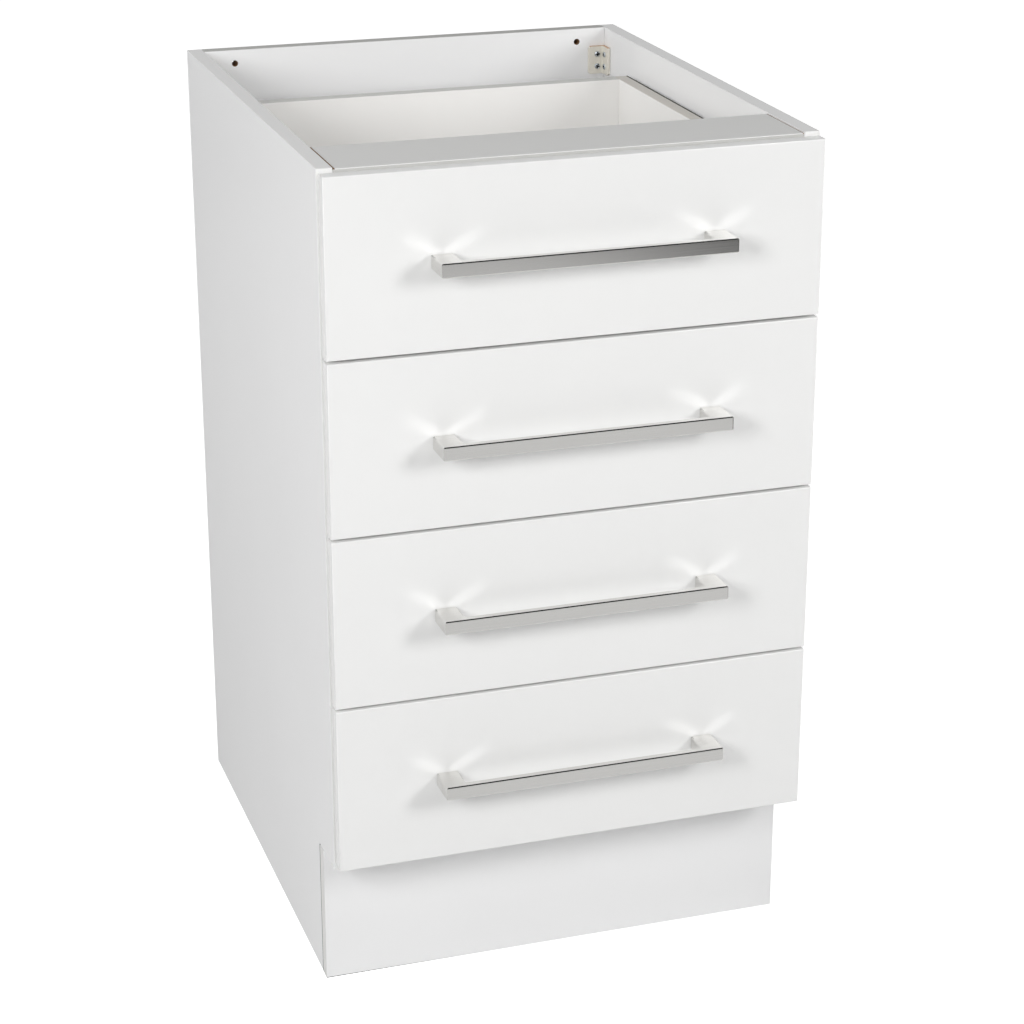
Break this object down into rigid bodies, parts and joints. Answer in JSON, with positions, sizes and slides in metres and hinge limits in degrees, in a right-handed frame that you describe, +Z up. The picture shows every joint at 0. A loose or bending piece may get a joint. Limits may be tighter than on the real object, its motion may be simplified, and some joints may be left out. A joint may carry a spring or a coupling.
{
  "type": "base cabinet with drawers",
  "caption": "White kitchen base cabinet with an open top, full-width drawers with bar handles on concealed runners, and a recessed kickboard.",
  "frame": {"origin": "on the floor, midway across the width and midway between the handles' front faces and the wall face", "axes": "+X to the right seen from the front, +Y from the fronts towards the wall, +Z up"},
  "size_m": [0.5, 0.634, 0.87],
  "materials": {
    "carcass_board": "white melamine-faced chipboard, satin",
    "front_board": "white melamine-faced chipboard, silky gloss",
    "drawer_board": "off-white foil-faced chipboard, satin",
    "drawer_bottom_board": "white-faced fibreboard, satin",
    "handle_metal": "satin nickel plate",
    "runner_steel": "galvanised sheet steel",
    "bracket_plastic": "moulded ivory plastic"
  },
  "bodies": {
    "carcass": {"left_side_panel": "carcass_board", "right_side_panel": "carcass_board", "bottom_panel": "carcass_board", "back_panel": "carcass_board", "front_top_rail": "carcass_board", "kickboard": "carcass_board", "left_corner_bracket": "bracket_plastic", "right_corner_bracket": "bracket_plastic", "left_kick_bracket": "bracket_plastic", "right_kick_bracket": "bracket_plastic", "drawer_1_left_cabinet_rail": "runner_steel", "drawer_1_right_cabinet_rail": "runner_steel", "drawer_2_left_cabinet_rail": "runner_steel", "drawer_2_right_cabinet_rail": "runner_steel", "drawer_3_left_cabinet_rail": "runner_steel", "drawer_3_right_cabinet_rail": "runner_steel", "drawer_4_left_cabinet_rail": "runner_steel", "drawer_4_right_cabinet_rail": "runner_steel"},
    "drawer_1": {"drawer_1_front": "front_board", "drawer_1_left_side": "drawer_board", "drawer_1_right_side": "drawer_board", "drawer_1_back": "drawer_board", "drawer_1_bottom": "drawer_bottom_board", "drawer_1_handle": "handle_metal", "drawer_1_left_rail": "runner_steel", "drawer_1_right_rail": "runner_steel"},
    "drawer_1_mid_rails": {"drawer_1_left_mid_rail": "runner_steel", "drawer_1_right_mid_rail": "runner_steel"},
    "drawer_2": {"drawer_2_front": "front_board", "drawer_2_left_side": "drawer_board", "drawer_2_right_side": "drawer_board", "drawer_2_back": "drawer_board", "drawer_2_bottom": "drawer_bottom_board", "drawer_2_handle": "handle_metal", "drawer_2_left_rail": "runner_steel", "drawer_2_right_rail": "runner_steel"},
    "drawer_2_mid_rails": {"drawer_2_left_mid_rail": "runner_steel", "drawer_2_right_mid_rail": "runner_steel"},
    "drawer_3": {"drawer_3_front": "front_board", "drawer_3_left_side": "drawer_board", "drawer_3_right_side": "drawer_board", "drawer_3_back": "drawer_board", "drawer_3_bottom": "drawer_bottom_board", "drawer_3_handle": "handle_metal", "drawer_3_left_rail": "runner_steel", "drawer_3_right_rail": "runner_steel"},
    "drawer_3_mid_rails": {"drawer_3_left_mid_rail": "runner_steel", "drawer_3_right_mid_rail": "runner_steel"},
    "drawer_4": {"drawer_4_front": "front_board", "drawer_4_left_side": "drawer_board", "drawer_4_right_side": "drawer_board", "drawer_4_back": "drawer_board", "drawer_4_bottom": "drawer_bottom_board", "drawer_4_handle": "handle_metal", "drawer_4_left_rail": "runner_steel", "drawer_4_right_rail": "runner_steel"},
    "drawer_4_mid_rails": {"drawer_4_left_mid_rail": "runner_steel", "drawer_4_right_mid_rail": "runner_steel"}
  },
  "joints": [
    {"name": "drawer_1_slide", "type": "slide", "parent": "carcass", "child": "drawer_1", "axis": [0, -1, 0], "range_m": [0, 0.45]},
    {"name": "drawer_1_mid_slide", "type": "slide", "parent": "carcass", "child": "drawer_1_mid_rails", "axis": [0, -1, 0], "range_m": [0, 0.225]},
    {"name": "drawer_2_slide", "type": "slide", "parent": "carcass", "child": "drawer_2", "axis": [0, -1, 0], "range_m": [0, 0.45]},
    {"name": "drawer_2_mid_slide", "type": "slide", "parent": "carcass", "child": "drawer_2_mid_rails", "axis": [0, -1, 0], "range_m": [0, 0.225]},
    {"name": "drawer_3_slide", "type": "slide", "parent": "carcass", "child": "drawer_3", "axis": [0, -1, 0], "range_m": [0, 0.45]},
    {"name": "drawer_3_mid_slide", "type": "slide", "parent": "carcass", "child": "drawer_3_mid_rails", "axis": [0, -1, 0], "range_m": [0, 0.225]},
    {"name": "drawer_4_slide", "type": "slide", "parent": "carcass", "child": "drawer_4", "axis": [0, -1, 0], "range_m": [0, 0.45]},
    {"name": "drawer_4_mid_slide", "type": "slide", "parent": "carcass", "child": "drawer_4_mid_rails", "axis": [0, -1, 0], "range_m": [0, 0.225]}
  ],
  "couplings": [
    {"joint": "drawer_1_mid_slide", "follows": "drawer_1_slide", "ratio": 0.5},
    {"joint": "drawer_2_mid_slide", "follows": "drawer_2_slide", "ratio": 0.5},
    {"joint": "drawer_3_mid_slide", "follows": "drawer_3_slide", "ratio": 0.5},
    {"joint": "drawer_4_mid_slide", "follows": "drawer_4_slide", "ratio": 0.5}
  ]
}
